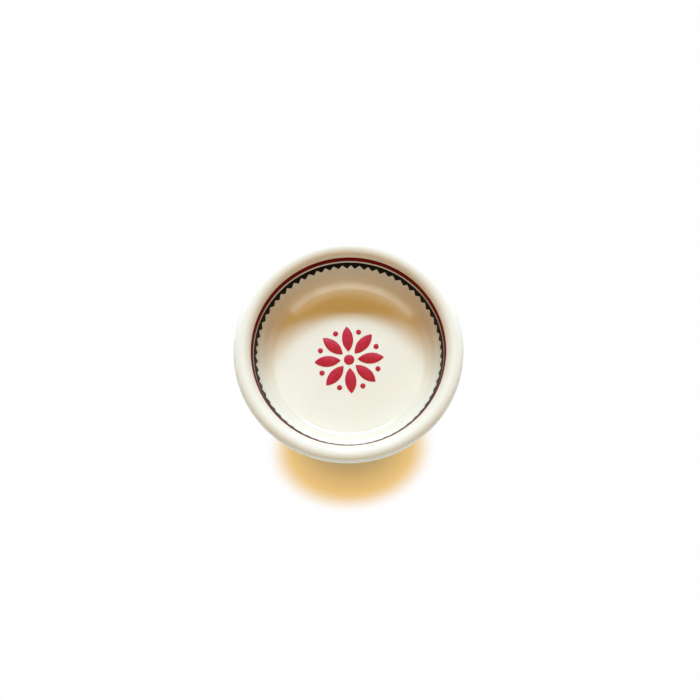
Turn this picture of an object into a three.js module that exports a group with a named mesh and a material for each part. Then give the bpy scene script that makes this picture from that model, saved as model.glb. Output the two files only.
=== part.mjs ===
// Ramekin: a low round stoneware dish with a rolled lip, a flared wall and a foot ring.
// It is one fired clay body under an ivory glaze, with red and black enamel fired on top.
// Millimetres, +Z up, origin on the axis at the standing edge of the foot.

import * as THREE from 'three';

const { degToRad } = THREE.MathUtils;

// Overall size of the glazed dish
const rimRadius = 60;
const rimHeight = 30.4;

// Rolled lip
const lipInnerRadius = 5.8;
const lipOuterRadius = 3.84;
const undercutRadius = 3;

// Wall and floor: the wall is steep under the lip, curves in towards the floor and meets it at a crease
const wallDraft = degToRad(9);
const wallCurveRadius = 60;
const wallThickness = 6;
const floorThickness = 5;
const floorFilletRadius = 12;
const floorCrease = degToRad(17);
const heelRadius = 4;

// Foot ring
const footHeight = 2.5;
const footSetback = 2.3;
const footWidth = 4.5;
const footFilletRadius = 1;
const footEdgeRadius = 0.7;

// Glaze
const glazeThickness = 0.4;
const glazeClearance = 0.05;
const glazeStop = 1.2;

// Enamel borders, measured down the inside wall. The red line lies half on the lip and half on the wall.
const enamelThickness = 0.2;
const enamelClearance = 0.05;
const redLineWidth = 3.3;
const paleGap = 1.45;
const borderStripHeight = 2.5;
const toothHeight = 3.4;
const toothCount = 66;
const toothTurn = degToRad(5.23);

// Enamel rosette on the floor
const rosetteCentreRadius = 2.8;
const petalCount = 8;
const petalGap = 1.8;
const petalLength = 14;
const petalWidth = 6;
const petalDotCircle = 16.2;
const petalDotRadius = 1.4;

// Steps along each arc of the dish's outline, and sides of round enamel dots
const filletSteps = 4;
const lipInsideSteps = 4;
const lipOutsideSteps = 7;
const edgeSteps = 2;
const footSteps = 1;
const petalSteps = 8;
const dotSides = 12;

// Every turned piece has one facet for each tooth, so that the enamel lies parallel to the glaze
const facetAngle = 2 * Math.PI / toothCount;

// Centres of the arcs that make the outline, on the half plane of radius and height.
// Both faces of the wall bend round one centre. Each arc runs smoothly into the next, except at the crease.
const floorTop = footHeight + floorThickness;
const crestRadius = rimRadius - lipOuterRadius;
const outerCurveRadius = wallCurveRadius + wallThickness;
const lipInside = new THREE.Vector2(crestRadius, rimHeight - lipInnerRadius);
const lipOutside = new THREE.Vector2(crestRadius, rimHeight - lipOuterRadius);
const wallCentre = onCircle(lipInside, lipInnerRadius + wallCurveRadius, Math.PI - wallDraft);
const filletHeight = floorTop + floorFilletRadius * Math.cos(floorCrease);
const floorFillet = atHeight(wallCentre, wallCurveRadius - floorFilletRadius, filletHeight);
const wallFoot = direction(wallCentre, floorFillet);
const wallLength = wallCurveRadius * (-wallDraft - wallFoot);
const heel = atHeight(wallCentre, outerCurveRadius - heelRadius, footHeight + heelRadius);
const underReach = outerCurveRadius + undercutRadius;
const undercut = below(wallCentre, underReach, lipOutside, lipOuterRadius + undercutRadius);
const lipEnd = undercut.clone().sub(lipOutside).angle() - 2 * Math.PI;
const footOuterRadius = heel.x - footSetback;
const footInnerRadius = footOuterRadius - footWidth;
const footFillet = new THREE.Vector2(footOuterRadius + footFilletRadius, footHeight - footFilletRadius);
const redLineEnd = redLineWidth / 2;
const borderDrop = redLineEnd + paleGap;
const toothRoot = borderDrop + borderStripHeight;
const toothTip = toothRoot + toothHeight;

const bareClay = new THREE.MeshStandardMaterial({ color: 0xd9c7a8, roughness: 0.9, metalness: 0 });
const ivoryGlaze = new THREE.MeshStandardMaterial({ color: 0xf1ede0, roughness: 0.12, metalness: 0 });
const redEnamel = new THREE.MeshStandardMaterial({ color: 0xb5182e, roughness: 0.25, metalness: 0 });
const maroonEnamel = new THREE.MeshStandardMaterial({ color: 0x7d0f16, roughness: 0.25, metalness: 0 });
const blackEnamel = new THREE.MeshStandardMaterial({ color: 0x14130f, roughness: 0.25, metalness: 0 });

// Point at a given height and distance from a centre, on the side away from the axis
function atHeight(centre, distance, height) {
  return new THREE.Vector2(centre.x + Math.sqrt(distance ** 2 - (height - centre.y) ** 2), height);
}

// The lower of the two points at given distances from two centres
function below(first, firstDistance, second, secondDistance) {
  const apart = second.clone().sub(first);
  const span = apart.length();
  const cosine = (firstDistance ** 2 + span ** 2 - secondDistance ** 2) / (2 * firstDistance * span);
  return onCircle(first, firstDistance, apart.angle() - Math.acos(cosine));
}

// Direction from one point of the outline to another, as an angle below or above the horizontal
function direction(from, to) {
  return Math.atan2(to.y - from.y, to.x - from.x);
}

function onCircle(centre, radius, angle) {
  return new THREE.Vector2(Math.cos(angle), Math.sin(angle)).multiplyScalar(radius).add(centre);
}

// Points along an arc of the outline
function arc(centre, radius, from, to, steps) {
  return Array.from({ length: steps + 1 }, (_, step) => {
    return onCircle(centre, radius, from + (to - from) * step / steps);
  });
}

// Outline of the dish from the middle of its floor, over the lip, to the foot, sunk into the clay by a depth
function dishOutline(depth) {
  const up = Math.PI / 2;
  const left = Math.PI;
  const down = -Math.PI / 2;
  const wallTop = left - wallDraft - redLineEnd / lipInnerRadius;
  const filletRadius = floorFilletRadius + depth;
  const crease = down + Math.acos((filletHeight - floorTop + depth) / filletRadius);
  const filletTop = cornerAngle(Math.max(0, toothTip - wallLength));
  const outsideTop = direction(wallCentre, undercut);
  const outsideFoot = direction(wallCentre, heel);
  const stations = [toothTip, toothRoot, borderDrop, redLineEnd, 0];
  return [
    new THREE.Vector2(0, floorTop - depth),
    ...arc(floorFillet, filletRadius, crease, filletTop, filletSteps),
    ...stations.map((along) => insideWall(along, -depth)),
    ...arc(lipInside, lipInnerRadius - depth, wallTop, up, lipInsideSteps),
    ...arc(lipOutside, lipOuterRadius - depth, up, lipEnd, lipOutsideSteps).slice(1),
    ...arc(undercut, undercutRadius + depth, left + lipEnd, left + outsideTop, edgeSteps).slice(1),
    ...arc(wallCentre, outerCurveRadius - depth, outsideTop, outsideFoot, edgeSteps).slice(1),
    ...arc(heel, heelRadius - depth, outsideFoot, down, edgeSteps).slice(1),
    ...arc(footFillet, footFilletRadius + depth, up, left, footSteps),
  ];
}

// Outline of the foot ring from the middle of its recess to the bottom of its outer side
function footOutline(depth) {
  const ceiling = footHeight + depth;
  const outerSide = footOuterRadius - depth;
  const recessFillet = new THREE.Vector2(footInnerRadius - footFilletRadius, ceiling - footFilletRadius);
  const innerEdge = new THREE.Vector2(footInnerRadius + footEdgeRadius, footEdgeRadius);
  const outerEdge = new THREE.Vector2(outerSide - footEdgeRadius, footEdgeRadius);
  return [
    new THREE.Vector2(0, ceiling),
    ...arc(recessFillet, footFilletRadius, Math.PI / 2, 0, footSteps),
    ...arc(innerEdge, footEdgeRadius, Math.PI, Math.PI * 1.5, footSteps),
    ...arc(outerEdge, footEdgeRadius, -Math.PI / 2, 0, footSteps),
  ];
}

// Solid of revolution about Z from an outline that runs anticlockwise
function turned(outline) {
  return new THREE.LatheGeometry(outline, toothCount, toothTurn).rotateX(Math.PI / 2);
}

// Point of a facet's edge on the turned pieces, at a radius and height
function onFacetEdge(point, facet) {
  const angle = toothTurn + facet * facetAngle;
  return new THREE.Vector3(point.x * Math.sin(angle), -point.x * Math.cos(angle), point.y);
}

// Angle on the floor's corner that lies a given way past the foot of the wall
function cornerAngle(past) {
  return wallFoot - past / floorFilletRadius;
}

// Place a given way down the inside wall from where it meets the lip, raised off the glaze by a lift.
// It lies on the lip where the way is negative, and in the floor's corner past the foot of the wall.
function insideWall(along, lift) {
  if (along < 0) {
    return onCircle(lipInside, lipInnerRadius + lift, Math.PI - wallDraft + along / lipInnerRadius);
  }
  if (along > wallLength) {
    return onCircle(floorFillet, floorFilletRadius - lift, cornerAngle(along - wallLength));
  }
  return onCircle(wallCentre, wallCurveRadius - lift, -wallDraft - along / wallCurveRadius);
}

function clayBody() {
  const depth = glazeThickness + glazeClearance;
  return turned([...footOutline(depth), ...dishOutline(depth).reverse()]);
}

function glazeCoat() {
  const claySide = dishOutline(glazeThickness);
  const shownSide = dishOutline(0).reverse();
  const stop = [
    new THREE.Vector2(footOuterRadius - glazeThickness, glazeStop),
    new THREE.Vector2(footOuterRadius, glazeStop),
  ];
  return turned([...claySide, ...stop, ...shownSide]);
}

function undersideGlaze() {
  const edge = footInnerRadius - footFilletRadius;
  return turned([
    new THREE.Vector2(0, footHeight),
    new THREE.Vector2(edge, footHeight),
    new THREE.Vector2(edge, footHeight + glazeThickness),
    new THREE.Vector2(0, footHeight + glazeThickness),
  ]);
}

function redLine() {
  const low = enamelClearance;
  const high = enamelClearance + enamelThickness;
  const section = [
    insideWall(-redLineEnd, low),
    insideWall(-redLineEnd, high),
    insideWall(0, high),
    insideWall(redLineEnd, high),
    insideWall(redLineEnd, low),
    insideWall(0, low),
  ];
  return turned([...section, section[0]]);
}

// Closed band of enamel: a strip with one tooth hanging from each facet
function sawtoothBorder() {
  const positions = [];
  const low = enamelClearance;
  const high = enamelClearance + enamelThickness;
  const triangle = (a, b, c) => {
    [a, c, b].forEach((corner) => positions.push(corner.x, corner.y, corner.z));
  };
  const quad = (a, b, c, d) => {
    triangle(a, b, c);
    triangle(a, c, d);
  };
  const edgeOf = (facet) => ({
    topFront: onFacetEdge(insideWall(borderDrop, high), facet),
    topBack: onFacetEdge(insideWall(borderDrop, low), facet),
    rootFront: onFacetEdge(insideWall(toothRoot, high), facet),
    rootBack: onFacetEdge(insideWall(toothRoot, low), facet),
    tipFront: onFacetEdge(insideWall(toothTip, high), facet),
    tipBack: onFacetEdge(insideWall(toothTip, low), facet),
  });
  for (let facet = 0; facet < toothCount; facet += 1) {
    const here = edgeOf(facet);
    const next = edgeOf(facet + 1);
    const tipFront = here.tipFront.clone().lerp(next.tipFront, 0.5);
    const tipBack = here.tipBack.clone().lerp(next.tipBack, 0.5);
    quad(here.topFront, here.rootFront, next.rootFront, next.topFront);
    quad(here.topBack, next.topBack, next.rootBack, here.rootBack);
    quad(here.topFront, next.topFront, next.topBack, here.topBack);
    triangle(here.rootFront, tipFront, next.rootFront);
    triangle(here.rootBack, next.rootBack, tipBack);
    quad(here.rootFront, here.rootBack, tipBack, tipFront);
    quad(next.rootFront, tipFront, tipBack, next.rootBack);
  }
  const geometry = new THREE.BufferGeometry();
  geometry.setAttribute('position', new THREE.Float32BufferAttribute(positions, 3));
  return geometry;
}

// Flat patch of enamel lying on the floor
function floorPatch(shape, curveSegments) {
  const options = { depth: enamelThickness, bevelEnabled: false, curveSegments };
  return new THREE.ExtrudeGeometry(shape, options).translate(0, 0, floorTop + enamelClearance);
}

function dot(radius, fromAxis) {
  return floorPatch(new THREE.Shape().absarc(fromAxis, 0, radius, 0, 2 * Math.PI, false), dotSides);
}

// Petal along +X, pointed at both ends: two arcs that meet on the petal's own axis
function petal() {
  const half = petalLength / 2;
  const bulge = petalWidth / 2;
  const arcRadius = (half * half + bulge * bulge) / (2 * bulge);
  const arcDrop = arcRadius - bulge;
  const reach = Math.atan2(half, arcDrop);
  const middle = rosetteCentreRadius + petalGap + half;
  const shape = new THREE.Shape();
  shape.absarc(middle, arcDrop, arcRadius, -Math.PI / 2 - reach, -Math.PI / 2 + reach, false);
  shape.absarc(middle, -arcDrop, arcRadius, Math.PI / 2 - reach, Math.PI / 2 + reach, false);
  return floorPatch(shape, petalSteps);
}

const ramekin = new THREE.Group();

function add(name, geometry, material, turn = 0) {
  const piece = new THREE.Mesh(geometry, material);
  piece.name = name;
  piece.rotation.z = turn;
  ramekin.add(piece);
}

add('stoneware_body', clayBody(), bareClay);
add('glaze_coat', glazeCoat(), ivoryGlaze);
add('underside_glaze', undersideGlaze(), ivoryGlaze);
add('rim_red_line', redLine(), maroonEnamel);
add('sawtooth_border', sawtoothBorder(), blackEnamel);
add('rosette_centre', dot(rosetteCentreRadius, 0), redEnamel);
for (let place = 1; place <= petalCount; place += 1) {
  const turn = 2 * Math.PI * place / petalCount;
  const halfTurn = Math.PI / petalCount;
  add(`rosette_petal_${place}`, petal(), redEnamel, turn);
  add(`rosette_dot_${place}`, dot(petalDotRadius, petalDotCircle), redEnamel, turn + halfTurn);
}

export default ramekin;
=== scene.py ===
# %% [markdown]
# # A glazed stoneware ramekin
# The dish is one fired clay body under an ivory glaze. A dark red line, a black sawtooth border and a red
# rosette are fired on top of the glaze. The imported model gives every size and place. This lesson replaces
# its faceted solids with finely turned meshes and gives each one a procedural finish.

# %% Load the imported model
import math
import random

import bmesh
import bpy
from mathutils import Matrix, Vector, noise


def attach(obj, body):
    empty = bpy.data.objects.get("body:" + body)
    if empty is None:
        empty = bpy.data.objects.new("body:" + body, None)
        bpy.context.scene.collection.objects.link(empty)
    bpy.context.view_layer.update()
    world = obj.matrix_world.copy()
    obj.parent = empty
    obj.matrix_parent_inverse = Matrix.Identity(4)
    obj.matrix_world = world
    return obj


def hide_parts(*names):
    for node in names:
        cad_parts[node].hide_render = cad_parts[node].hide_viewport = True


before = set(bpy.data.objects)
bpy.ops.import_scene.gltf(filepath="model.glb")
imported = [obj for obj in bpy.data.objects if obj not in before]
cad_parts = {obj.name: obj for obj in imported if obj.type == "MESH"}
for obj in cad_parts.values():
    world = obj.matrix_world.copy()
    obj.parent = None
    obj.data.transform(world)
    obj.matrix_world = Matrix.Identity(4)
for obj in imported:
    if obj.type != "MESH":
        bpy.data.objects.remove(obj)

scene = bpy.context.scene
scene.view_settings.view_transform = "Standard"
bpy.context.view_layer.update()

# %% [markdown]
# ## Sizes
# The drawing of a turned dish is a half outline, so its sizes are radii, heights and angles. They are the
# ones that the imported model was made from, in millimetres. Only the rim is drawn 0.07 mm smaller, because a
# circle bulges past the flat facets of the solid it stands for.

# %% Sizes of the dish
MM = 0.001
rim_radius = 59.93
rim_height = 30.4
lip_inner_radius = 5.8
lip_outer_radius = 3.84
undercut_radius = 3.0
wall_draft = math.radians(9)
wall_curve_radius = 60.0
wall_thickness = 6.0
floor_thickness = 5.0
floor_fillet_radius = 12.0
floor_crease = math.radians(17)
heel_radius = 4.0
foot_height = 2.5
foot_setback = 2.3
foot_width = 4.5
foot_fillet_radius = 1.0
foot_edge_radius = 0.7
glaze_thickness = 0.4
glaze_clearance = 0.05
glaze_stop = 1.2
floor_top = foot_height + floor_thickness
print("floor at", floor_top, "mm, rim at", rim_height, "mm")

# %% [markdown]
# ## Camera
# The camera looks down into the dish at about 74 degrees and leans a little to one side. Its focal length,
# distance and lean come from the ellipses that the red line, the teeth, the floor and the lip make in the
# picture. Blender's lens is the focal length in pixels, over the picture's width, times the sensor's width.

# %% Camera
picture_width = 700
focal_pixels = 1300
look_distance = 0.6783
look_elevation = math.radians(74.09)
look_roll = math.radians(-4.43)
red_line_height = 0.025505
line_centre_x, line_centre_y = 348.36, 350.36


def aim_camera():
    right = Vector((1, 0, 0))
    up = Vector((0, math.sin(look_elevation), math.cos(look_elevation)))
    back = Vector((0, -math.cos(look_elevation), math.sin(look_elevation)))
    aside = (line_centre_x - picture_width / 2) / focal_pixels * look_distance
    above = -(line_centre_y - picture_width / 2) / focal_pixels * look_distance
    place = Vector((0, 0, red_line_height)) - right * aside - up * above + back * look_distance
    turned_right = right * math.cos(look_roll) + up * math.sin(look_roll)
    turned_up = up * math.cos(look_roll) - right * math.sin(look_roll)
    data = bpy.data.cameras.new("camera")
    data.sensor_width = 36
    data.lens = focal_pixels / picture_width * data.sensor_width
    camera = bpy.data.objects.new("camera", data)
    scene.collection.objects.link(camera)
    axes = Matrix((turned_right, turned_up, back)).transposed().to_4x4()
    camera.matrix_world = Matrix.Translation(place) @ axes
    scene.camera = camera
    return camera


camera = aim_camera()
print("lens", round(camera.data.lens, 2), "mm, camera at", [round(x, 3) for x in camera.location])

# %% [markdown]
# ## Light from the window
# The dish stands in front of a window that is wide and shallow, so the far rim throws a crisp crescent on the
# floor of the dish. Three panes on an arc keep the same height all along it, and a dim strip on the sill
# below them softens the crescent's near edge. Every lamp is a rectangle that faces a target. A lamp that
# would show as a patch in the glaze is kept out of reflections.

# %% Lamp helpers
dish_middle = (0, 0, 0.02)


def toward(azimuth, elevation):
    """Direction at an azimuth from +Y, clockwise seen from above, and an elevation."""
    level = math.cos(elevation)
    return Vector((math.sin(azimuth) * level, math.cos(azimuth) * level, math.sin(elevation)))


def hang(name, size, watts, colour, away, distance, target=dish_middle, mirrored=True):
    """Rectangular lamp in a given direction and distance from its target."""
    data = bpy.data.lights.new(name, "AREA")
    data.shape = "RECTANGLE"
    data.size, data.size_y = size
    data.energy = watts
    data.color = colour
    light = bpy.data.objects.new(name, data)
    light.location = Vector(target) + away * distance
    light.rotation_mode = "QUATERNION"
    light.rotation_quaternion = away.to_track_quat("Z", "Y")
    light.visible_glossy = mirrored
    scene.collection.objects.link(light)
    return light


print("lamps face", dish_middle)

# %% Window panes and sill
window_centre = math.radians(3.5)
window_azimuth = math.radians(22)
window_elevation = math.radians(36)
window_distance = 1.6
window_height = 0.17
window_colour = (0.5, 0.765, 1.0)
pane_count = 3
pane_watts = 13.2
sill_elevation = math.radians(29)
sill_watts = 4.1


def strip_width(elevation, half_angle):
    """Width of a level strip at the window's distance that spans an angle to both sides."""
    return 2 * window_distance * math.cos(elevation) * math.tan(half_angle)


def hang_window():
    pane_angle = 2 * window_azimuth / pane_count
    pane_size = (strip_width(window_elevation, pane_angle / 2), window_height)
    for pane in range(pane_count):
        away = toward(window_centre - window_azimuth + (pane + 0.5) * pane_angle, window_elevation)
        hang(f"window_pane_{pane + 1}", pane_size, pane_watts, window_colour, away, window_distance)
    sill_size = (strip_width(sill_elevation, window_azimuth), window_height)
    away = toward(window_centre, sill_elevation)
    hang("window_sill", sill_size, sill_watts, window_colour, away, window_distance, mirrored=False)


hang_window()
print("window of", pane_count, "panes and a sill")

# %% [markdown]
# ## Light from the room
# The window is cool, and a warm lamp overhead fills the shadows with gold, so that the two together are
# neutral on a level surface. Panels before and behind the dish stand for the walls of the room, and a low
# strip stands for the light that the table throws up under the lip.

# %% Lamp overhead, panels and table strip
lamp_size = (1.2, 1.2)
lamp_distance = 1.2
lamp_watts = 7.25
lamp_colour = (0.96, 0.48, 0.0)
panel_distance = 1.4
front_size = (1.9, 0.55)
front_elevation = math.radians(18)
front_watts = 4.7
front_colour = (0.37, 0.75, 1.0)
back_size = (1.2, 0.2)
back_elevation = math.radians(12)
back_watts = 1.5
back_colour = (1.0, 0.3, 0.05)
bounce_size = (1.0, 0.03)
bounce_distance = 0.5
bounce_target = (0, 0, 0.016)
bounce_watts = 0.55
bounce_colour = (0.2, 0.72, 1.0)


def hang_room():
    above = Vector((0, 0, 1))
    hang("warm_lamp", lamp_size, lamp_watts, lamp_colour, above, lamp_distance, mirrored=False)
    before = toward(math.pi, front_elevation)
    hang("front_panel", front_size, front_watts, front_colour, before, panel_distance, mirrored=False)
    behind = toward(window_centre, back_elevation)
    hang("back_panel", back_size, back_watts, back_colour, behind, panel_distance)
    low = toward(math.pi, 0.0)
    hang("sheet_bounce", bounce_size, bounce_watts, bounce_colour, low, bounce_distance, bounce_target, False)


hang_room()
print("lamp overhead, two panels and a strip at the table")

# %% [markdown]
# ## Light in the corner of the floor
# The near wall mirrors the window into the far corner of the floor. That path is too fine for the renderer to
# find, so five small strips over the dish light the corner instead. They are dimmer toward both ends, and the
# camera doesn't see them.

# %% Corner strips
glint_count = 5
glint_centre = math.radians(7)
glint_arc = math.radians(21)
glint_elevation = math.radians(25)
glint_distance = 0.06
glint_size = (0.014, 0.003)
glint_spread = math.radians(5)
glint_watts = 0.00008
glint_falloff = 1.1
glint_colour = (0.58, 0.8, 0.95)
corner_radius = 0.0404
corner_height = 0.0080


def hang_corner_strips():
    for strip in range(glint_count):
        aside = (strip - (glint_count - 1) / 2) * glint_arc
        azimuth = glint_centre + aside
        corner = (corner_radius * math.sin(azimuth), corner_radius * math.cos(azimuth), corner_height)
        away = toward(azimuth + math.pi, glint_elevation)
        watts = glint_watts * math.cos(glint_falloff * aside)
        name = f"corner_glint_{strip + 1}"
        glint = hang(name, glint_size, watts, glint_colour, away, glint_distance, corner, mirrored=False)
        glint.data.spread = glint_spread
        glint.visible_camera = False


hang_corner_strips()

# %% [markdown]
# ## World and table
# Both are stage and not part of the dish. The world is white to the camera. Reflections see it white too, but
# only up to a slanting line that is high behind the viewer and low beyond the dish, and dim above that.
# Everything else sees a room with cool walls and a golden ceiling. The table is a white sheet, a hair below
# the foot. Only a patch in front of the dish keeps its shadow. There the shadow's golden colour is painted
# into the sheet, with a painted golden glow over it that passes into white, and the rest is white to the
# camera.

# %% Node helpers
smooth = {"interpolation_type": "SMOOTHSTEP"}
colour_mix = {"data_type": "RGBA"}


def add_node(tree, kind, settings=None, sockets=None):
    node = tree.nodes.new(kind)
    for key, value in (settings or {}).items():
        setattr(node, key, value)
    for key, value in (sockets or {}).items():
        node.inputs[key].default_value = value
    return node


def join(tree, source, target):
    tree.links.new(source, target)


def seen_directly(tree):
    """One where a ray comes from the camera, a reflection or a glass surface."""
    path = add_node(tree, "ShaderNodeLightPath")
    seen = add_node(tree, "ShaderNodeMath", {"operation": "MAXIMUM"})
    seen_through = add_node(tree, "ShaderNodeMath", {"operation": "MAXIMUM"})
    join(tree, path.outputs["Is Camera Ray"], seen.inputs[0])
    join(tree, path.outputs["Is Glossy Ray"], seen.inputs[1])
    join(tree, seen.outputs[0], seen_through.inputs[0])
    join(tree, path.outputs["Is Transmission Ray"], seen_through.inputs[1])
    return seen_through.outputs[0]


print("node helpers ready")

# %% World
horizon_colour = (0.39, 0.41, 0.47, 1)
ceiling_colour = (0.15, 0.075, 0.002, 1)
ceiling_start, ceiling_full = 0.2, 0.6
slant = (0.0, 0.466, 1.0)
dim_start, dim_full = 0.70, 0.86
dim_level = 0.1


def white_backdrop(tree, direction):
    """White to the camera, and in reflections up to the slanting line."""
    height = add_node(tree, "ShaderNodeVectorMath", {"operation": "DOT_PRODUCT"}, {1: slant})
    fade = add_node(tree, "ShaderNodeMapRange", None, {
        "From Min": dim_start, "From Max": dim_full, "To Min": 1.0, "To Max": dim_level,
    })
    path = add_node(tree, "ShaderNodeLightPath")
    white = add_node(tree, "ShaderNodeMath", {"operation": "MAXIMUM"})
    backdrop = add_node(tree, "ShaderNodeBackground")
    join(tree, direction, height.inputs[0])
    join(tree, height.outputs["Value"], fade.inputs["Value"])
    join(tree, fade.outputs["Result"], white.inputs[0])
    join(tree, path.outputs["Is Camera Ray"], white.inputs[1])
    join(tree, white.outputs[0], backdrop.inputs["Color"])
    return backdrop.outputs[0]


def room_light(tree, direction):
    """Cool walls that turn into a golden ceiling."""
    split = add_node(tree, "ShaderNodeSeparateXYZ")
    rise = add_node(tree, "ShaderNodeMapRange", smooth, {"From Min": ceiling_start, "From Max": ceiling_full})
    tone = add_node(tree, "ShaderNodeMix", colour_mix, {"A": horizon_colour, "B": ceiling_colour})
    room = add_node(tree, "ShaderNodeBackground")
    join(tree, direction, split.inputs[0])
    join(tree, split.outputs["Z"], rise.inputs["Value"])
    join(tree, rise.outputs["Result"], tone.inputs["Factor"])
    join(tree, tone.outputs["Result"], room.inputs["Color"])
    return room.outputs[0]


def paint_world():
    world = bpy.data.worlds.new("white_room")
    scene.world = world
    world.use_nodes = True
    tree = world.node_tree
    tree.nodes.clear()
    direction = add_node(tree, "ShaderNodeTexCoord").outputs["Generated"]
    mix = add_node(tree, "ShaderNodeMixShader")
    output = add_node(tree, "ShaderNodeOutputWorld")
    join(tree, seen_directly(tree), mix.inputs[0])
    join(tree, room_light(tree, direction), mix.inputs[1])
    join(tree, white_backdrop(tree, direction), mix.inputs[2])
    join(tree, mix.outputs[0], output.inputs["Surface"])
    return world


print("world", paint_world().name)

# %% Table
table_size = 6.0
table_drop = 0.0002
table_colour = (0.96, 0.96, 0.96, 1)
patch_centre = (-0.0026, -0.046, 0.0)
patch_reach = (0.0425, 0.0334, 1.0)
# The shadow's golden colour and the golden glow over it are painted into the table.
painted_shadow_tint = (0.97, 0.78, 0.45, 1)
painted_shadow_glow = (0.90, 0.61, 0.24, 1)
white_glow = (1, 1, 1, 1)
bleach_start, bleach_full = 0.72, 1.08
glow_start, glow_full = 0.25, 1.0
glow_least = 0.10


def painted_golden_shadow(tree):
    """The table as it is seen: the shadow with a painted golden tint and a painted golden glow that passes
    into white.
    """
    shaded = add_node(tree, "ShaderNodeBsdfDiffuse", None, {"Color": painted_shadow_tint})
    place = add_node(tree, "ShaderNodeTexCoord")
    offset = add_node(tree, "ShaderNodeVectorMath", {"operation": "SUBTRACT"}, {1: patch_centre})
    share = add_node(tree, "ShaderNodeVectorMath", {"operation": "DIVIDE"}, {1: patch_reach})
    reach = add_node(tree, "ShaderNodeVectorMath", {"operation": "LENGTH"})
    bleach = add_node(tree, "ShaderNodeMapRange", smooth, {"From Min": bleach_start, "From Max": bleach_full})
    glow = add_node(tree, "ShaderNodeMix", colour_mix, {"A": painted_shadow_glow, "B": white_glow})
    glowing = add_node(tree, "ShaderNodeEmission")
    amount = add_node(tree, "ShaderNodeMapRange", smooth, {
        "From Min": glow_start, "From Max": glow_full, "To Min": glow_least,
    })
    seen = add_node(tree, "ShaderNodeMixShader")
    join(tree, place.outputs["Object"], offset.inputs[0])
    join(tree, offset.outputs[0], share.inputs[0])
    join(tree, share.outputs[0], reach.inputs[0])
    join(tree, reach.outputs["Value"], bleach.inputs["Value"])
    join(tree, bleach.outputs["Result"], glow.inputs["Factor"])
    join(tree, glow.outputs["Result"], glowing.inputs["Color"])
    join(tree, reach.outputs["Value"], amount.inputs["Value"])
    join(tree, amount.outputs["Result"], seen.inputs[0])
    join(tree, shaded.outputs[0], seen.inputs[1])
    join(tree, glowing.outputs[0], seen.inputs[2])
    return seen.outputs[0]


def white_sheet():
    material = bpy.data.materials.new("white_sheet")
    material.use_nodes = True
    tree = material.node_tree
    tree.nodes.clear()
    sheet = add_node(tree, "ShaderNodeBsdfDiffuse", None, {"Color": table_colour})
    mix = add_node(tree, "ShaderNodeMixShader")
    output = add_node(tree, "ShaderNodeOutputMaterial")
    join(tree, seen_directly(tree), mix.inputs[0])
    join(tree, sheet.outputs[0], mix.inputs[1])
    join(tree, painted_golden_shadow(tree), mix.inputs[2])
    join(tree, mix.outputs[0], output.inputs["Surface"])
    return material


def lay_table():
    half = table_size / 2
    mesh = bpy.data.meshes.new("table")
    corners = [(-half, -half, 0), (half, -half, 0), (half, half, 0), (-half, half, 0)]
    mesh.from_pydata(corners, [], [(0, 1, 2, 3)])
    table = bpy.data.objects.new("table", mesh)
    table.location.z = -table_drop
    scene.collection.objects.link(table)
    mesh.materials.append(white_sheet())
    return table


print("table", lay_table().name)

# %% [markdown]
# ## The outline
# A moulded dish is all arcs that run into each other smoothly. Each arc is given by its centre, and two arcs
# meet on the line between their centres. Both faces of the wall bend round one far centre. Only the floor
# doesn't run smoothly into its corner: it ends at a crease, which shows as a fine ring. A depth shrinks the
# outline into the clay, so one drawing gives the face of the glaze, its underside and the clay below it. A
# Bezier curve with a screw modifier could turn the shape too, but points in a list let each ring be nudged.

# %% Arcs of the outline
right, up, left, down = 0.0, math.pi / 2, math.pi, -math.pi / 2


def on_circle(centre, radius, angle):
    return (centre[0] + radius * math.cos(angle), centre[1] + radius * math.sin(angle))


def at_height(centre, distance, height):
    """Point at a height and a distance from a centre, on the side away from the axis."""
    return (centre[0] + math.sqrt(distance ** 2 - (height - centre[1]) ** 2), height)


def direction(start, stop):
    return math.atan2(stop[1] - start[1], stop[0] - start[0])


def below(first, first_distance, second, second_distance):
    """The lower of the two points at given distances from two centres."""
    span = math.dist(first, second)
    cosine = (first_distance ** 2 + span ** 2 - second_distance ** 2) / (2 * first_distance * span)
    return on_circle(first, first_distance, direction(first, second) - math.acos(cosine))


def arc(centre, radius, start, stop, steps):
    return [on_circle(centre, radius, start + (stop - start) * step / steps) for step in range(steps + 1)]


def run(start, stop, steps):
    """Points strictly between two places on a straight part of the outline."""
    shares = [step / steps for step in range(1, steps)]
    return [(start[0] + (stop[0] - start[0]) * s, start[1] + (stop[1] - start[1]) * s) for s in shares]


crest_radius = rim_radius - lip_outer_radius
outer_curve_radius = wall_curve_radius + wall_thickness
lip_inside = (crest_radius, rim_height - lip_inner_radius)
lip_outside = (crest_radius, rim_height - lip_outer_radius)
wall_centre = on_circle(lip_inside, lip_inner_radius + wall_curve_radius, left - wall_draft)
fillet_height = floor_top + floor_fillet_radius * math.cos(floor_crease)
floor_fillet = at_height(wall_centre, wall_curve_radius - floor_fillet_radius, fillet_height)
heel = at_height(wall_centre, outer_curve_radius - heel_radius, foot_height + heel_radius)
under_reach = outer_curve_radius + undercut_radius
undercut = below(wall_centre, under_reach, lip_outside, lip_outer_radius + undercut_radius)
lip_end = direction(lip_outside, undercut)
foot_outer_radius = heel[0] - foot_setback
foot_inner_radius = foot_outer_radius - foot_width
foot_fillet = (foot_outer_radius + foot_fillet_radius, foot_height - foot_fillet_radius)
wall_foot = direction(wall_centre, floor_fillet)
outside_top = direction(wall_centre, undercut)
outside_foot = direction(wall_centre, heel)
print("foot ring from", round(foot_inner_radius, 2), "to", round(foot_outer_radius, 2), "mm")

# %% Outline of the dish and of its foot
crease_margin = 0.4


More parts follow.
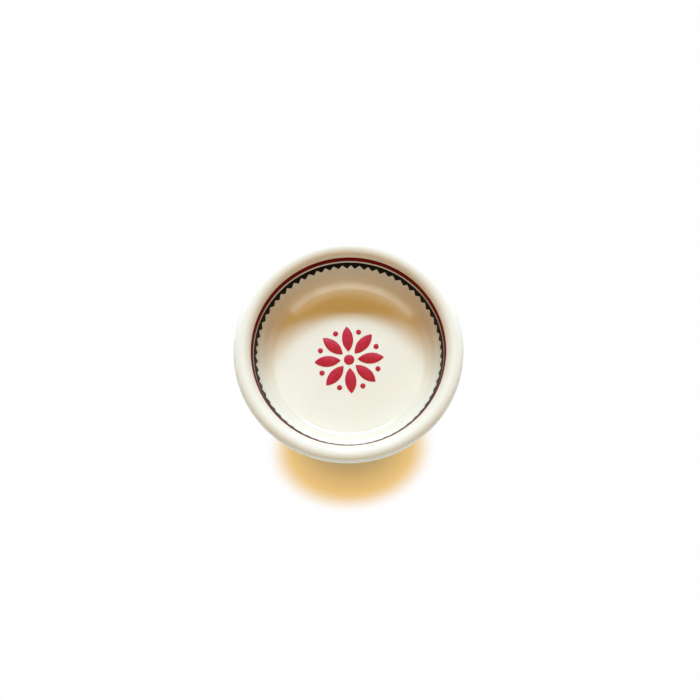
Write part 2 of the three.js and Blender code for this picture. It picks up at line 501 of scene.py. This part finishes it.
def dish_outline(depth):
    """From the middle of the floor, over the lip, down to the top of the foot."""
    fillet_radius = floor_fillet_radius + depth
    crease = down + math.acos((fillet_height - floor_top + depth) / fillet_radius)
    fillet = arc(floor_fillet, fillet_radius, crease, wall_foot, 40)
    middle = (0.0, floor_top - depth)
    floor_end = (fillet[0][0] - crease_margin, floor_top - depth)
    return [
        middle,
        *run(middle, floor_end, 12),
        floor_end,
        *fillet,
        *arc(wall_centre, wall_curve_radius + depth, wall_foot, -wall_draft, 16)[1:],
        *arc(lip_inside, lip_inner_radius - depth, left - wall_draft, up, 20)[1:],
        *arc(lip_outside, lip_outer_radius - depth, up, lip_end, 32)[1:],
        *arc(undercut, undercut_radius + depth, left + lip_end, left + outside_top, 12)[1:],
        *arc(wall_centre, outer_curve_radius - depth, outside_top, outside_foot, 12)[1:],
        *arc(heel, heel_radius - depth, outside_foot, down, 12)[1:],
        *arc(foot_fillet, foot_fillet_radius + depth, up, left, 6),
    ]


def foot_outline(depth):
    """From the middle of the recess under the dish to the outer side of the foot."""
    ceiling = foot_height + depth
    outer_side = foot_outer_radius - depth
    recess_centre = (foot_inner_radius - foot_fillet_radius, ceiling - foot_fillet_radius)
    inner_centre = (foot_inner_radius + foot_edge_radius, foot_edge_radius)
    outer_centre = (outer_side - foot_edge_radius, foot_edge_radius)
    recess = arc(recess_centre, foot_fillet_radius, up, right, 6)
    inner_edge = arc(inner_centre, foot_edge_radius, left, math.pi * 1.5, 6)
    outer_edge = arc(outer_centre, foot_edge_radius, down, right, 6)
    middle = (0.0, ceiling)
    return [middle, *run(middle, recess[0], 6), *recess, *inner_edge, *outer_edge]


print("outline of", len(dish_outline(0.0)), "points, foot of", len(foot_outline(0.0)))

# %% [markdown]
# ## Turning
# Turning lays the outline's points on rings about the axis and joins each ring to the next. An outline that
# starts and ends on the axis closes itself, and any other one is joined end to end into a ring. Every turned
# piece is closed, shaded smooth, and keeps a sharp edge only where two faces meet at a steep angle.

# %% Turning helper
ring_steps = 264
sharp_angle = math.radians(50)
on_axis = 1e-6
noise_gain = 1.6


def place_piece(name, bm, nodes):
    bmesh.ops.recalc_face_normals(bm, faces=bm.faces)
    mesh = bpy.data.meshes.new(name)
    bm.to_mesh(mesh)
    bm.free()
    mesh.polygons.foreach_set("use_smooth", [True] * len(mesh.polygons))
    mesh.set_sharp_from_angle(angle=sharp_angle)
    piece = bpy.data.objects.new(name, mesh)
    scene.collection.objects.link(piece)
    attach(piece, "root")
    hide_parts(*nodes)
    return piece


def turn(outline, steps, nudge=None):
    """Rings of an outline in a bmesh. A nudge moves a point of the outline by the angle it is turned to."""
    bm = bmesh.new()
    rings = []
    for radius, height in outline:
        if radius < on_axis:
            rings.append([bm.verts.new((0, 0, height * MM))])
            continue
        ring = []
        for step in range(steps):
            angle = 2 * math.pi * step / steps
            r, z = nudge(radius, height, angle) if nudge else (radius, height)
            ring.append(bm.verts.new((r * math.sin(angle) * MM, -r * math.cos(angle) * MM, z * MM)))
        rings.append(ring)
    pairs = list(zip(rings, rings[1:]))
    if len(rings[0]) > 1:
        pairs.append((rings[-1], rings[0]))
    for here, there in pairs:
        for step in range(steps):
            after = (step + 1) % steps
            lower = [here[step % len(here)], here[after % len(here)]]
            upper = [there[after % len(there)], there[step % len(there)]]
            bm.faces.new(list(dict.fromkeys(lower + upper)))
    return bm


def round_noise(angle, lobes, seed):
    """Smooth noise that repeats after a full turn, between about -1 and 1."""
    spot = Vector((math.cos(angle) * lobes, math.sin(angle) * lobes, seed))
    return noise.noise(spot) * noise_gain


print("rings of", ring_steps, "steps")

# %% [markdown]
# ## Clay body
# The biscuit body carries everything. Only its foot ring shows, as a band of bare buff clay that the potter
# wiped clean so that the dish doesn't stick to the kiln shelf.

# %% Clay body
clay_depth = glaze_thickness + glaze_clearance
clay_outline = foot_outline(clay_depth) + dish_outline(clay_depth)[::-1]
clay_body = place_piece("clay_body", turn(clay_outline, ring_steps), ["stoneware_body"])
print(clay_body.name, len(clay_body.data.polygons), "faces")

# %% [markdown]
# ## Glaze coat
# The glaze is a glassy skin with a thickness of its own. Its lower edge on the foot is where it was wiped off
# by hand, so that edge wanders a little. Only the last few rings wander, and the rest is turned true.

# %% Glaze coat
wipe_reach = 0.5
wipe_wander = 0.22


def wiped_edge(radius, height, angle):
    share = max(0.0, 1.0 - (height - glaze_stop) / wipe_reach)
    return radius, height + share * wipe_wander * round_noise(angle, 5.0, 3.1)


glaze_outline = dish_outline(0.0)
glaze_outline += [(foot_outer_radius, glaze_stop), (foot_outer_radius - glaze_thickness, glaze_stop)]
glaze_outline += dish_outline(glaze_thickness)[::-1]
glaze_mesh = turn(glaze_outline, ring_steps, wiped_edge)
glaze_coat = place_piece("glaze_skin", glaze_mesh, ["glaze_coat"])
print(glaze_coat.name, len(glaze_coat.data.polygons), "faces")

# %% [markdown]
# ## Glaze under the foot
# The round inside the foot ring is glazed as well. Its edge is rounded, as a pool of glaze draws back from a
# wiped edge.

# %% Underside glaze
pool_edge = foot_inner_radius - foot_fillet_radius
pool_round = glaze_thickness / 2
pool_rim = arc((pool_edge - pool_round, foot_height + pool_round), pool_round, down, up, 8)
pool_face = (0.0, foot_height)
pool_back = (0.0, foot_height + glaze_thickness)
pool_outline = [pool_face, *run(pool_face, pool_rim[0], 6), *pool_rim]
pool_outline += [*run(pool_rim[-1], pool_back, 6), pool_back]
pool_mesh = turn(pool_outline, ring_steps)
underside_pool = place_piece("foot_recess_glaze", pool_mesh, ["underside_glaze"])
print(underside_pool.name, len(underside_pool.data.polygons), "faces")

# %% [markdown]
# ## Enamel on the wall
# Enamel is a thin coloured glass that is banded or printed on the glaze and fired again. It stands a fifth of
# a millimetre proud, with soft edges. A texture could draw it flat, but a real skin catches light along its
# edges. A band is a small cross-section carried round the wall between a top edge and a bottom edge.

# %% Enamel bands
enamel_thickness = 0.2
enamel_clearance = 0.05
red_line_width = 3.3
pale_gap = 1.45
strip_height = 2.5
tooth_height = 3.4
tooth_count = 66
tooth_turn = math.radians(5.23)
tooth_pitch = 2 * math.pi / tooth_count
line_steps = 528
line_overrun = 0.12
line_shortfall = 0.08
line_wander = 0.06
band_section = [
    (0.0, 0.0), (0.0, 0.55), (0.02, 0.85), (0.06, 1.0), (0.3, 1.0), (0.5, 1.0), (0.7, 1.0),
    (0.94, 1.0), (0.98, 0.85), (1.0, 0.55), (1.0, 0.0), (0.5, 0.0),
]


def wall_point(drop, lift):
    """Place a given way down the wall from the lip, or up the lip where the drop is negative."""
    if drop < 0:
        return on_circle(lip_inside, lip_inner_radius + lift, left - wall_draft + drop / lip_inner_radius)
    return on_circle(wall_centre, wall_curve_radius - lift, -wall_draft - drop / wall_curve_radius)


def wall_band(top_edge, bottom_edge, steps, start):
    bm = bmesh.new()
    rings = []
    for step in range(steps):
        angle = start + 2 * math.pi * step / steps
        top, bottom = top_edge(angle), bottom_edge(angle)
        ring = []
        for share, rise in band_section:
            r, z = wall_point(top + (bottom - top) * share, enamel_clearance + enamel_thickness * rise)
            ring.append(bm.verts.new((r * math.sin(angle) * MM, -r * math.cos(angle) * MM, z * MM)))
        rings.append(ring)
    size = len(band_section)
    for here, there in zip(rings, rings[1:] + rings[:1]):
        for spot in range(size):
            after = (spot + 1) % size
            bm.faces.new((here[spot], here[after], there[after], there[spot]))
    return bm


def line_top(angle):
    return -red_line_width / 2 - line_overrun + line_wander * round_noise(angle, 6.0, 1.3)


def line_bottom(angle):
    return red_line_width / 2 - line_shortfall + line_wander * round_noise(angle, 7.0, 5.7)


line_mesh = wall_band(line_top, line_bottom, line_steps, 0.0)
red_line = place_piece("red_line", line_mesh, ["rim_red_line"])
print(red_line.name, len(red_line.data.polygons), "faces")

# %% [markdown]
# ## Sawtooth border
# The border's teeth were cut by hand in the stencil, so no two are quite alike: each tip leans and reaches by
# its own amount, and each notch between two teeth has its own depth. A seeded list of small errors gives
# the same teeth on every run.

# %% Sawtooth border
tooth_steps = 16
border_top = red_line_width / 2 + pale_gap
tooth_root = border_top + strip_height
border_shortfall = 0.12
border_wander = 0.05
tip_round = 0.006
tip_trim = 0.05
dice = random.Random(66)
teeth = [
    {
        "lean": dice.uniform(-0.12, 0.12),
        "reach": dice.uniform(0.90, 1.02),
        "notch": dice.uniform(-0.22, 0.10),
    }
    for _ in range(tooth_count)
]


def border_upper(angle):
    return border_top + border_shortfall + border_wander * round_noise(angle, 8.0, 2.2)


def border_lower(angle):
    place = ((angle - tooth_turn) / tooth_pitch) % tooth_count
    index = int(place)
    tooth, after = teeth[index], teeth[(index + 1) % tooth_count]
    across = (place - index) * 2 - 1
    lean = tooth["lean"]
    side = (across - lean) / (1 + lean if across < lean else 1 - lean)
    notch = tooth["notch"] if side < 0 else after["notch"]
    slope = math.sqrt(side * side + tip_round) - tip_trim
    tip = tooth_height * tooth["reach"]
    return tooth_root + tip + (notch - tip) * min(1.0, slope)


border_mesh = wall_band(border_upper, border_lower, tooth_count * tooth_steps, tooth_turn)
sawtooth = place_piece("sawtooth", border_mesh, ["sawtooth_border"])
print(sawtooth.name, len(sawtooth.data.polygons), "faces")

# %% [markdown]
# ## Rosette
# The middle of the floor carries a plain rosette of eight pointed petals with dots between them. Each one is
# a separate touch of enamel: an outline raised off the glaze, drawn in a little at the top so that its edge
# is round.

# %% Rosette
rosette_centre_radius = 2.8
petal_count = 8
petal_gap = 1.8
petal_length = 14.0
petal_width = 6.0
dot_circle = 16.2
dot_radius = 1.4
dot_seed = 20
patch_wander = 0.05
patch_levels = [(0.0, 0.0), (0.0, 0.5), (0.05, 0.82), (0.14, 1.0)]


def patch(outline, turned, seed):
    """Closed low mound on the floor from an anticlockwise outline in millimetres, drawn in at the top."""
    bm = bmesh.new()
    count = len(outline)
    rings = []
    for inset, rise in patch_levels:
        ring = []
        for index, (x, y) in enumerate(outline):
            before, after = outline[index - 1], outline[(index + 1) % count]
            side = Vector((before[1] - after[1], after[0] - before[0])).normalized()
            spot = Vector((x, y)) + side * (inset + patch_wander * noise.noise(Vector((x, y, seed))))
            spot.rotate(Matrix.Rotation(turned, 2))
            height = floor_top + enamel_clearance + enamel_thickness * rise
            ring.append(bm.verts.new((spot.x * MM, spot.y * MM, height * MM)))
        rings.append(ring)
    for here, there in zip(rings, rings[1:]):
        for index in range(count):
            after = (index + 1) % count
            bm.faces.new((here[index], here[after], there[after], there[index]))
    bm.faces.new(rings[0][::-1])
    bm.faces.new(rings[-1])
    return bm


def round_outline(centre, radius, count):
    return arc(centre, radius, 0.0, 2 * math.pi, count)[:-1]


def petal_outline():
    half, bulge = petal_length / 2, petal_width / 2
    bend = (half * half + bulge * bulge) / (2 * bulge)
    reach = math.atan2(half, bend - bulge)
    middle = rosette_centre_radius + petal_gap + half
    lower = arc((middle, bend - bulge), bend, down - reach, down + reach, 28)
    upper = arc((middle, bulge - bend), bend, up - reach, up + reach, 28)
    return lower[:-1] + upper[:-1]


heart_mesh = patch(round_outline((0.0, 0.0), rosette_centre_radius, 48), 0.0, 0.5)
rosette = [place_piece("rosette_heart", heart_mesh, ["rosette_centre"])]
for number in range(1, petal_count + 1):
    turned = 2 * math.pi * number / petal_count
    petal = patch(petal_outline(), turned, number)
    rosette.append(place_piece(f"petal_{number}", petal, [f"rosette_petal_{number}"]))
    dot_outline = round_outline((dot_circle, 0.0), dot_radius, 32)
    dot = patch(dot_outline, turned + math.pi / petal_count, number + dot_seed)
    rosette.append(place_piece(f"dot_{number}", dot, [f"rosette_dot_{number}"]))
print("rosette of", len(rosette), "patches")

# %% [markdown]
# ## Shared effects
# Every fired surface drifts a little in colour, has a skin that isn't quite flat, and carries a few specks.
# The wall of the dish is also painted darker and warmer, which is painted shade. Each effect is one node
# group with named inputs, so that each finish can use it with its own values.

# %% Node group helper


def new_group(name, inputs, outputs):
    tree = bpy.data.node_groups.new(name, "ShaderNodeTree")
    for label, kind, value in inputs:
        socket = tree.interface.new_socket(label, in_out="INPUT", socket_type=kind)
        socket.default_value = value
    for label, kind in outputs:
        tree.interface.new_socket(label, in_out="OUTPUT", socket_type=kind)
    return tree, tree.nodes.new("NodeGroupInput"), tree.nodes.new("NodeGroupOutput")


value_socket, colour_socket = "NodeSocketFloat", "NodeSocketColor"
print("group helper ready")

# %% Kiln drift: slow change of colour across a fired surface


def kiln_drift():
    tree, given, result = new_group(
        "Kiln drift",
        [
            ("Colour", colour_socket, (0.8, 0.8, 0.8, 1)),
            ("Drift Colour", colour_socket, (0.7, 0.7, 0.7, 1)),
            ("Scale", value_socket, 40.0),
            ("Amount", value_socket, 0.5),
        ],
        [("Colour", colour_socket)],
    )
    place = add_node(tree, "ShaderNodeTexCoord")
    cloud = add_node(tree, "ShaderNodeTexNoise", None, {"Detail": 4.0, "Roughness": 0.6})
    spread = add_node(tree, "ShaderNodeMapRange", None, {"From Min": 0.35, "From Max": 0.7})
    amount = add_node(tree, "ShaderNodeMath", {"operation": "MULTIPLY"})
    mix = add_node(tree, "ShaderNodeMix", colour_mix)
    join(tree, place.outputs["Object"], cloud.inputs["Vector"])
    join(tree, given.outputs["Scale"], cloud.inputs["Scale"])
    join(tree, cloud.outputs["Fac"], spread.inputs["Value"])
    join(tree, spread.outputs["Result"], amount.inputs[0])
    join(tree, given.outputs["Amount"], amount.inputs[1])
    join(tree, amount.outputs[0], mix.inputs["Factor"])
    join(tree, given.outputs["Colour"], mix.inputs["A"])
    join(tree, given.outputs["Drift Colour"], mix.inputs["B"])
    join(tree, mix.outputs["Result"], result.inputs["Colour"])
    return tree


kiln_drift_group = kiln_drift()
print(kiln_drift_group.name)

# %% Fired skin: height and roughness of a surface that isn't quite flat


def fired_skin():
    tree, given, result = new_group(
        "Fired skin",
        [
            ("Scale", value_socket, 250.0),
            ("Roughness", value_socket, 0.2),
            ("Roughness Change", value_socket, 0.1),
        ],
        [("Height", value_socket), ("Roughness", value_socket)],
    )
    place = add_node(tree, "ShaderNodeTexCoord")
    ripple = add_node(tree, "ShaderNodeTexNoise", None, {"Detail": 3.0, "Roughness": 0.5})
    change = add_node(tree, "ShaderNodeMath", {"operation": "MULTIPLY_ADD"})
    join(tree, place.outputs["Object"], ripple.inputs["Vector"])
    join(tree, given.outputs["Scale"], ripple.inputs["Scale"])
    join(tree, ripple.outputs["Fac"], result.inputs["Height"])
    join(tree, ripple.outputs["Fac"], change.inputs[0])
    join(tree, given.outputs["Roughness Change"], change.inputs[1])
    join(tree, given.outputs["Roughness"], change.inputs[2])
    join(tree, change.outputs[0], result.inputs["Roughness"])
    return tree


fired_skin_group = fired_skin()
print(fired_skin_group.name)

# %% Specks: a few small round marks


def specks():
    tree, given, result = new_group(
        "Specks",
        [("Scale", value_socket, 120.0), ("Size", value_socket, 0.1), ("Share", value_socket, 0.1)],
        [("Mask", value_socket)],
    )
    place = add_node(tree, "ShaderNodeTexCoord")
    cells = add_node(tree, "ShaderNodeTexVoronoi", {"feature": "F1"})
    chance = add_node(tree, "ShaderNodeSeparateColor")
    picked = add_node(tree, "ShaderNodeMath", {"operation": "LESS_THAN"})
    size = add_node(tree, "ShaderNodeMath", {"operation": "MULTIPLY"})
    edge = add_node(tree, "ShaderNodeMapRange", None, {"From Min": 0.0, "To Min": 1.0, "To Max": 0.0})
    mask = add_node(tree, "ShaderNodeMath", {"operation": "MULTIPLY"})
    join(tree, place.outputs["Object"], cells.inputs["Vector"])
    join(tree, given.outputs["Scale"], cells.inputs["Scale"])
    join(tree, cells.outputs["Color"], chance.inputs["Color"])
    join(tree, chance.outputs["Red"], picked.inputs[0])
    join(tree, given.outputs["Share"], picked.inputs[1])
    join(tree, chance.outputs["Green"], size.inputs[0])
    join(tree, given.outputs["Size"], size.inputs[1])
    join(tree, cells.outputs["Distance"], edge.inputs["Value"])
    join(tree, size.outputs[0], edge.inputs["From Max"])
    join(tree, edge.outputs["Result"], mask.inputs[0])
    join(tree, picked.outputs[0], mask.inputs[1])
    join(tree, mask.outputs[0], result.inputs["Mask"])
    return tree


specks_group = specks()
print(specks_group.name)

# %% Painted wall shade: a mask between two distances from the axis, soft at both ends


def painted_wall_shade():
    tree, given, result = new_group(
        "Painted wall shade",
        [("Inner", value_socket, 0.0405), ("Outer", value_socket, 0.0535), ("Blend", value_socket, 0.003)],
        [("Mask", value_socket)],
    )
    place = add_node(tree, "ShaderNodeTexCoord")
    level = add_node(tree, "ShaderNodeVectorMath", {"operation": "MULTIPLY"}, {1: (1, 1, 0)})
    radius = add_node(tree, "ShaderNodeVectorMath", {"operation": "LENGTH"})
    past_inner = add_node(tree, "ShaderNodeMath", {"operation": "SUBTRACT"})
    before_outer = add_node(tree, "ShaderNodeMath", {"operation": "SUBTRACT"})
    inside = add_node(tree, "ShaderNodeMath", {"operation": "MINIMUM"})
    share = add_node(tree, "ShaderNodeMath", {"operation": "DIVIDE"})
    soft = add_node(tree, "ShaderNodeMapRange", smooth, {"From Min": -0.5, "From Max": 0.5})
    join(tree, place.outputs["Object"], level.inputs[0])
    join(tree, level.outputs["Vector"], radius.inputs[0])
    join(tree, radius.outputs["Value"], past_inner.inputs[0])
    join(tree, given.outputs["Inner"], past_inner.inputs[1])
    join(tree, given.outputs["Outer"], before_outer.inputs[0])
    join(tree, radius.outputs["Value"], before_outer.inputs[1])
    join(tree, past_inner.outputs[0], inside.inputs[0])
    join(tree, before_outer.outputs[0], inside.inputs[1])
    join(tree, inside.outputs[0], share.inputs[0])
    join(tree, given.outputs["Blend"], share.inputs[1])
    join(tree, share.outputs[0], soft.inputs["Value"])
    join(tree, soft.outputs["Result"], result.inputs["Mask"])
    return tree


painted_wall_shade_group = painted_wall_shade()
print(painted_wall_shade_group.name)

# %% [markdown]
# ## Finishes
# A finish is a Principled BSDF whose colour, roughness and normal come from the groups. Constant values are
# set on the shader itself. The bump's distance is a real height in metres: a hundredth of a millimetre for
# glass, and more for clay.

# %% Finish helper


def place_group(tree, group, values):
    node = tree.nodes.new("ShaderNodeGroup")
    node.node_tree = group
    for key, value in values.items():
        node.inputs[key].default_value = value
    return node


def new_finish(name, values):
    material = bpy.data.materials.new(name)
    material.use_nodes = True
    tree = material.node_tree
    surface = tree.nodes["Principled BSDF"]
    for key, value in values.items():
        surface.inputs[key].default_value = value
    return material, tree, surface


def add_skin(tree, surface, values, depth):
    skin = place_group(tree, fired_skin_group, values)
    bump = add_node(tree, "ShaderNodeBump", None, {"Strength": 1.0, "Distance": depth})
    join(tree, skin.outputs["Height"], bump.inputs["Height"])
    join(tree, bump.outputs["Normal"], surface.inputs["Normal"])
    join(tree, skin.outputs["Roughness"], surface.inputs["Roughness"])


def add_specks(tree, source, colour_value, values):
    marks = place_group(tree, specks_group, values)
    mix = add_node(tree, "ShaderNodeMix", colour_mix, {"B": colour_value})
    join(tree, marks.outputs["Mask"], mix.inputs["Factor"])
    join(tree, source, mix.inputs["A"])
    return mix.outputs["Result"]


print("finish helper ready")

# %% Ivory glaze
ivory = (0.86, 0.83, 0.74, 1)
deep_ivory = (0.82, 0.785, 0.675, 1)
shaded_wall_ivory = (0.76, 0.685, 0.555, 1)
iron_speck = (0.20, 0.15, 0.10, 1)
glass_bump = 0.00001


def ivory_glaze():
    material, tree, surface = new_finish("ivory_glaze_finish", {"IOR": 1.5, "Specular IOR Level": 0.5})
    drift = place_group(tree, kiln_drift_group, {
        "Colour": ivory, "Drift Colour": deep_ivory, "Scale": 45.0, "Amount": 0.5,
    })
    # A band of the wall, from the floor's crease up to the lip, is painted darker and warmer. This is painted
    # shade.
    wall_shade_mask = place_group(tree, painted_wall_shade_group, {"Inner": 0.0405, "Outer": 0.0535, "Blend": 0.003})
    shaded_wall_glaze = add_node(tree, "ShaderNodeMix", colour_mix, {"B": shaded_wall_ivory})
    join(tree, wall_shade_mask.outputs["Mask"], shaded_wall_glaze.inputs["Factor"])
    join(tree, drift.outputs["Colour"], shaded_wall_glaze.inputs["A"])
    marked = add_specks(tree, shaded_wall_glaze.outputs["Result"], iron_speck, {
        "Scale": 130.0, "Size": 0.10, "Share": 0.015,
    })
    join(tree, marked, surface.inputs["Base Color"])
    add_skin(tree, surface, {"Scale": 160.0, "Roughness": 0.06, "Roughness Change": 0.04}, glass_bump)
    return material


glaze_finish = ivory_glaze()
for piece in (glaze_coat, underside_pool):
    piece.data.materials.append(glaze_finish)
print(glaze_finish.name)

# %% Bare clay
buff = (0.69, 0.57, 0.40, 1)
deep_buff = (0.58, 0.44, 0.28, 1)
grit = (0.22, 0.14, 0.08, 1)
clay_bump = 0.00008


def bare_clay():
    material, tree, surface = new_finish("bare_clay_finish", {"IOR": 1.4, "Specular IOR Level": 0.2})
    drift = place_group(tree, kiln_drift_group, {
        "Colour": buff, "Drift Colour": deep_buff, "Scale": 160.0, "Amount": 0.7,
    })
    marked = add_specks(tree, drift.outputs["Colour"], grit, {
        "Scale": 900.0, "Size": 0.35, "Share": 0.12,
    })
    join(tree, marked, surface.inputs["Base Color"])
    add_skin(tree, surface, {"Scale": 2600.0, "Roughness": 0.75, "Roughness Change": 0.2}, clay_bump)
    return material


clay_finish = bare_clay()
clay_body.data.materials.append(clay_finish)
print(clay_finish.name)

# %% Enamels
enamel_bump = 0.00002


def enamel(name, colour_value, drift_value, shine):
    material, tree, surface = new_finish(name, {"IOR": 1.5, "Specular IOR Level": shine})
    drift = place_group(tree, kiln_drift_group, {
        "Colour": (*colour_value, 1), "Drift Colour": (*drift_value, 1), "Scale": 420.0, "Amount": 0.6,
    })
    join(tree, drift.outputs["Colour"], surface.inputs["Base Color"])
    add_skin(tree, surface, {"Scale": 900.0, "Roughness": 0.3, "Roughness Change": 0.12}, enamel_bump)
    return material


red_finish = enamel("red_enamel_finish", (0.47, 0.012, 0.033), (0.56, 0.03, 0.06), 0.25)
maroon_finish = enamel("maroon_enamel_finish", (0.14, 0.001, 0.002), (0.17, 0.003, 0.004), 0.03)
black_finish = enamel("black_enamel_finish", (0.003, 0.0025, 0.002), (0.006, 0.005, 0.004), 0.03)
red_line.data.materials.append(maroon_finish)
sawtooth.data.materials.append(black_finish)
for piece in rosette:
    piece.data.materials.append(red_finish)
print(red_finish.name, maroon_finish.name, black_finish.name)
